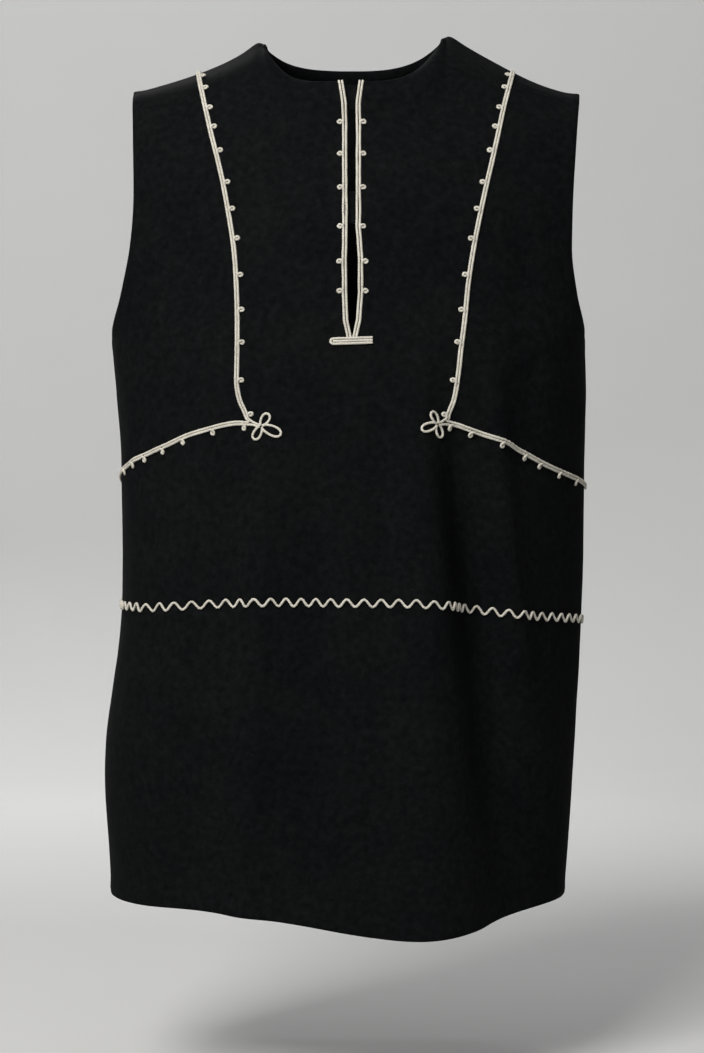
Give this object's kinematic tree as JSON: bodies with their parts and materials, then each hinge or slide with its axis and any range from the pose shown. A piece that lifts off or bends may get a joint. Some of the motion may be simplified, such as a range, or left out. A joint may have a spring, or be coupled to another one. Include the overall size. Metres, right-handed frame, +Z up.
{
  "type": "embroidered vest",
  "caption": "Sleeveless black wool tunic vest in its hollow worn form, with a slit neck and couched ecru cord outlining a bolero.",
  "frame": {"origin": "on the centre line between the two neck points of the shoulder seams, where the wearer's shoulders hold the vest", "axes": "+Z up, -Y towards the front of the vest, +X towards the wearer's left"},
  "size_m": [0.3546, 0.2593, 0.6494],
  "materials": {
    "wool_cloth": "fulled, matt",
    "cord": "twisted, matt"
  },
  "bodies": {
    "root": {"front_panel": "wool_cloth", "back_panel": "wool_cloth", "closure_tab_top": "wool_cloth", "closure_tab_lower": "wool_cloth", "slit_edge_cord_left": "cord", "slit_edge_cord_right": "cord", "slit_loop_cord_left": "cord", "slit_loop_cord_right": "cord", "slit_bar_cord": "cord", "bolero_edge_cord_left": "cord", "bolero_edge_cord_right": "cord", "bolero_loop_cord_left": "cord", "bolero_loop_cord_right": "cord", "wave_cord": "cord"}
  },
  "joints": []
}
